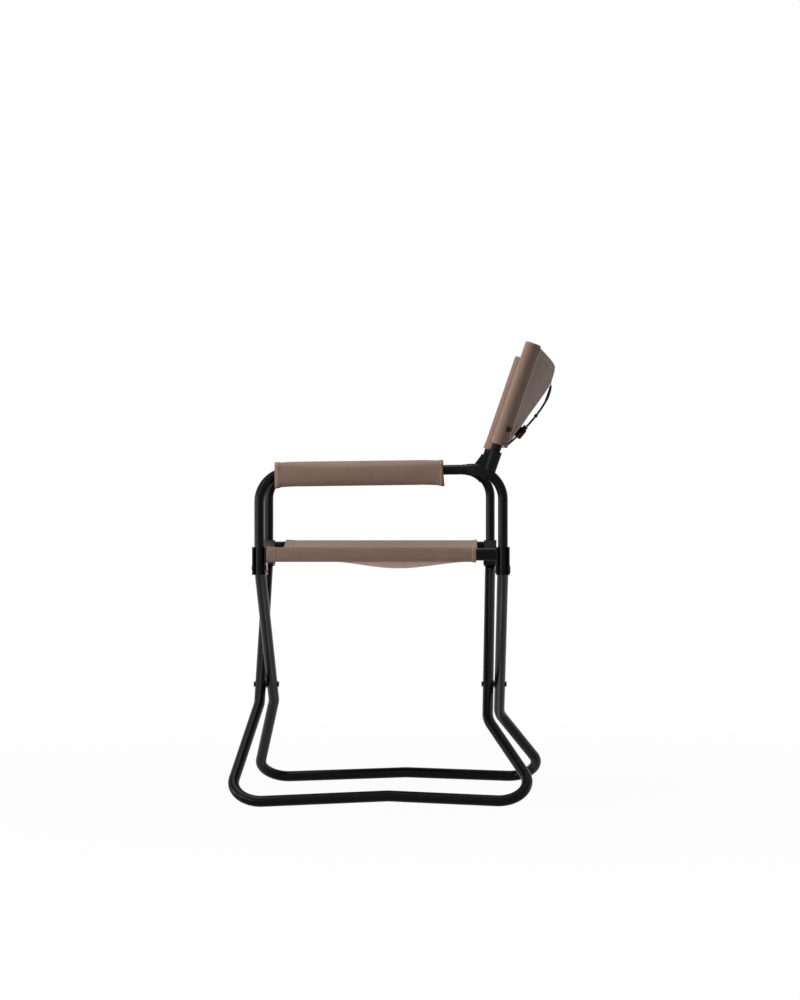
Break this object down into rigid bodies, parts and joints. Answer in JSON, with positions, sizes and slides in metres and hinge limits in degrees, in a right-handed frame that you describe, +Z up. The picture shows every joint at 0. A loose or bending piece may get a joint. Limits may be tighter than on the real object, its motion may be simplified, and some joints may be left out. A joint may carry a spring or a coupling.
{
  "type": "folding camp chair",
  "caption": "Folding camp chair: crossing tube leg loops, sling seat and back, padded arm rests, and a storage cord with a sprung lock.",
  "frame": {"origin": "on the floor, under the middle of the chair's box", "axes": "+Z up, -Y towards the front of the seat, +X towards the sitter's left arm"},
  "size_m": [0.64, 0.5763, 0.807],
  "materials": {
    "tube": "satin",
    "nylon": "moulded",
    "steel": "blackened",
    "snap": "dark",
    "fabric": "woven",
    "foam": "open cell",
    "webbing": "woven",
    "cord": "braided"
  },
  "bodies": {
    "right_legs": {"right_leg_loop": "tube", "right_seat_rail": "tube", "right_front_bracket": "nylon", "right_rear_bracket": "nylon", "right_hinge_pins": "steel", "right_leg_rivets": "steel", "right_pivot_bushes": "nylon", "pivot_bolts": "steel", "pivot_nuts": "steel", "pivot_washers": "nylon", "seat_fabric": "fabric"},
    "left_legs": {"left_leg_loop": "tube", "left_seat_rail": "tube", "left_front_bracket": "nylon", "left_rear_bracket": "nylon", "left_hinge_pins": "steel", "left_leg_rivets": "steel", "left_pivot_bushes": "nylon"},
    "left_arm": {"left_arm_frame": "tube", "left_post_bushes": "nylon", "left_pad_foam": "foam", "left_pad_cover": "fabric", "left_back_post": "tube", "left_post_cap": "nylon", "left_back_joint": "nylon", "left_joint_screws": "steel", "left_sleeve_snap": "snap", "back_fabric": "fabric", "cord_tab": "webbing", "storage_cord": "cord", "cord_anchor": "webbing"},
    "right_arm": {"right_arm_frame": "tube", "right_post_bushes": "nylon", "right_pad_foam": "foam", "right_pad_cover": "fabric", "right_back_post": "tube", "right_post_cap": "nylon", "right_back_joint": "nylon", "right_joint_screws": "steel", "right_sleeve_snap": "snap"},
    "cord_lock": {"cord_lock_body": "nylon"},
    "lock_button": {"cord_lock_button": "nylon"}
  },
  "joints": [
    {"name": "fold", "type": "hinge", "parent": "right_legs", "child": "left_legs", "pos_m": [0, 0, 0.198], "axis": [0, -1, 0], "range_deg": [0, 96.6], "deforming": ["seat_fabric", "back_fabric", "storage_cord", "cord_tab"]},
    {"name": "right_arm_hinge", "type": "hinge", "parent": "right_legs", "child": "right_arm", "pos_m": [-0.3, 0, 0.416], "axis": [0, -1, 0], "range_deg": [0, 48.3]},
    {"name": "left_arm_hinge", "type": "hinge", "parent": "left_legs", "child": "left_arm", "pos_m": [0.3, 0, 0.416], "axis": [0, -1, 0], "range_deg": [-48.3, 0]},
    {"name": "cord_lock_slide", "type": "slide", "parent": "left_arm", "child": "cord_lock", "axis": [1, 0, 0], "range_m": [0, 0.0764]},
    {"name": "lock_button_press", "type": "slide", "parent": "cord_lock", "child": "lock_button", "axis": [-0.3586, -0.5981, -0.7167], "range_m": [0, 0.003], "stiffness_N_per_m": 900}
  ],
  "couplings": [
    {"joint": "right_arm_hinge", "follows": "fold", "ratio": 0.5},
    {"joint": "left_arm_hinge", "follows": "fold", "ratio": -0.5},
    {"joint": "cord_lock_slide", "follows": "fold", "m_per_rad": 0.045272}
  ]
}
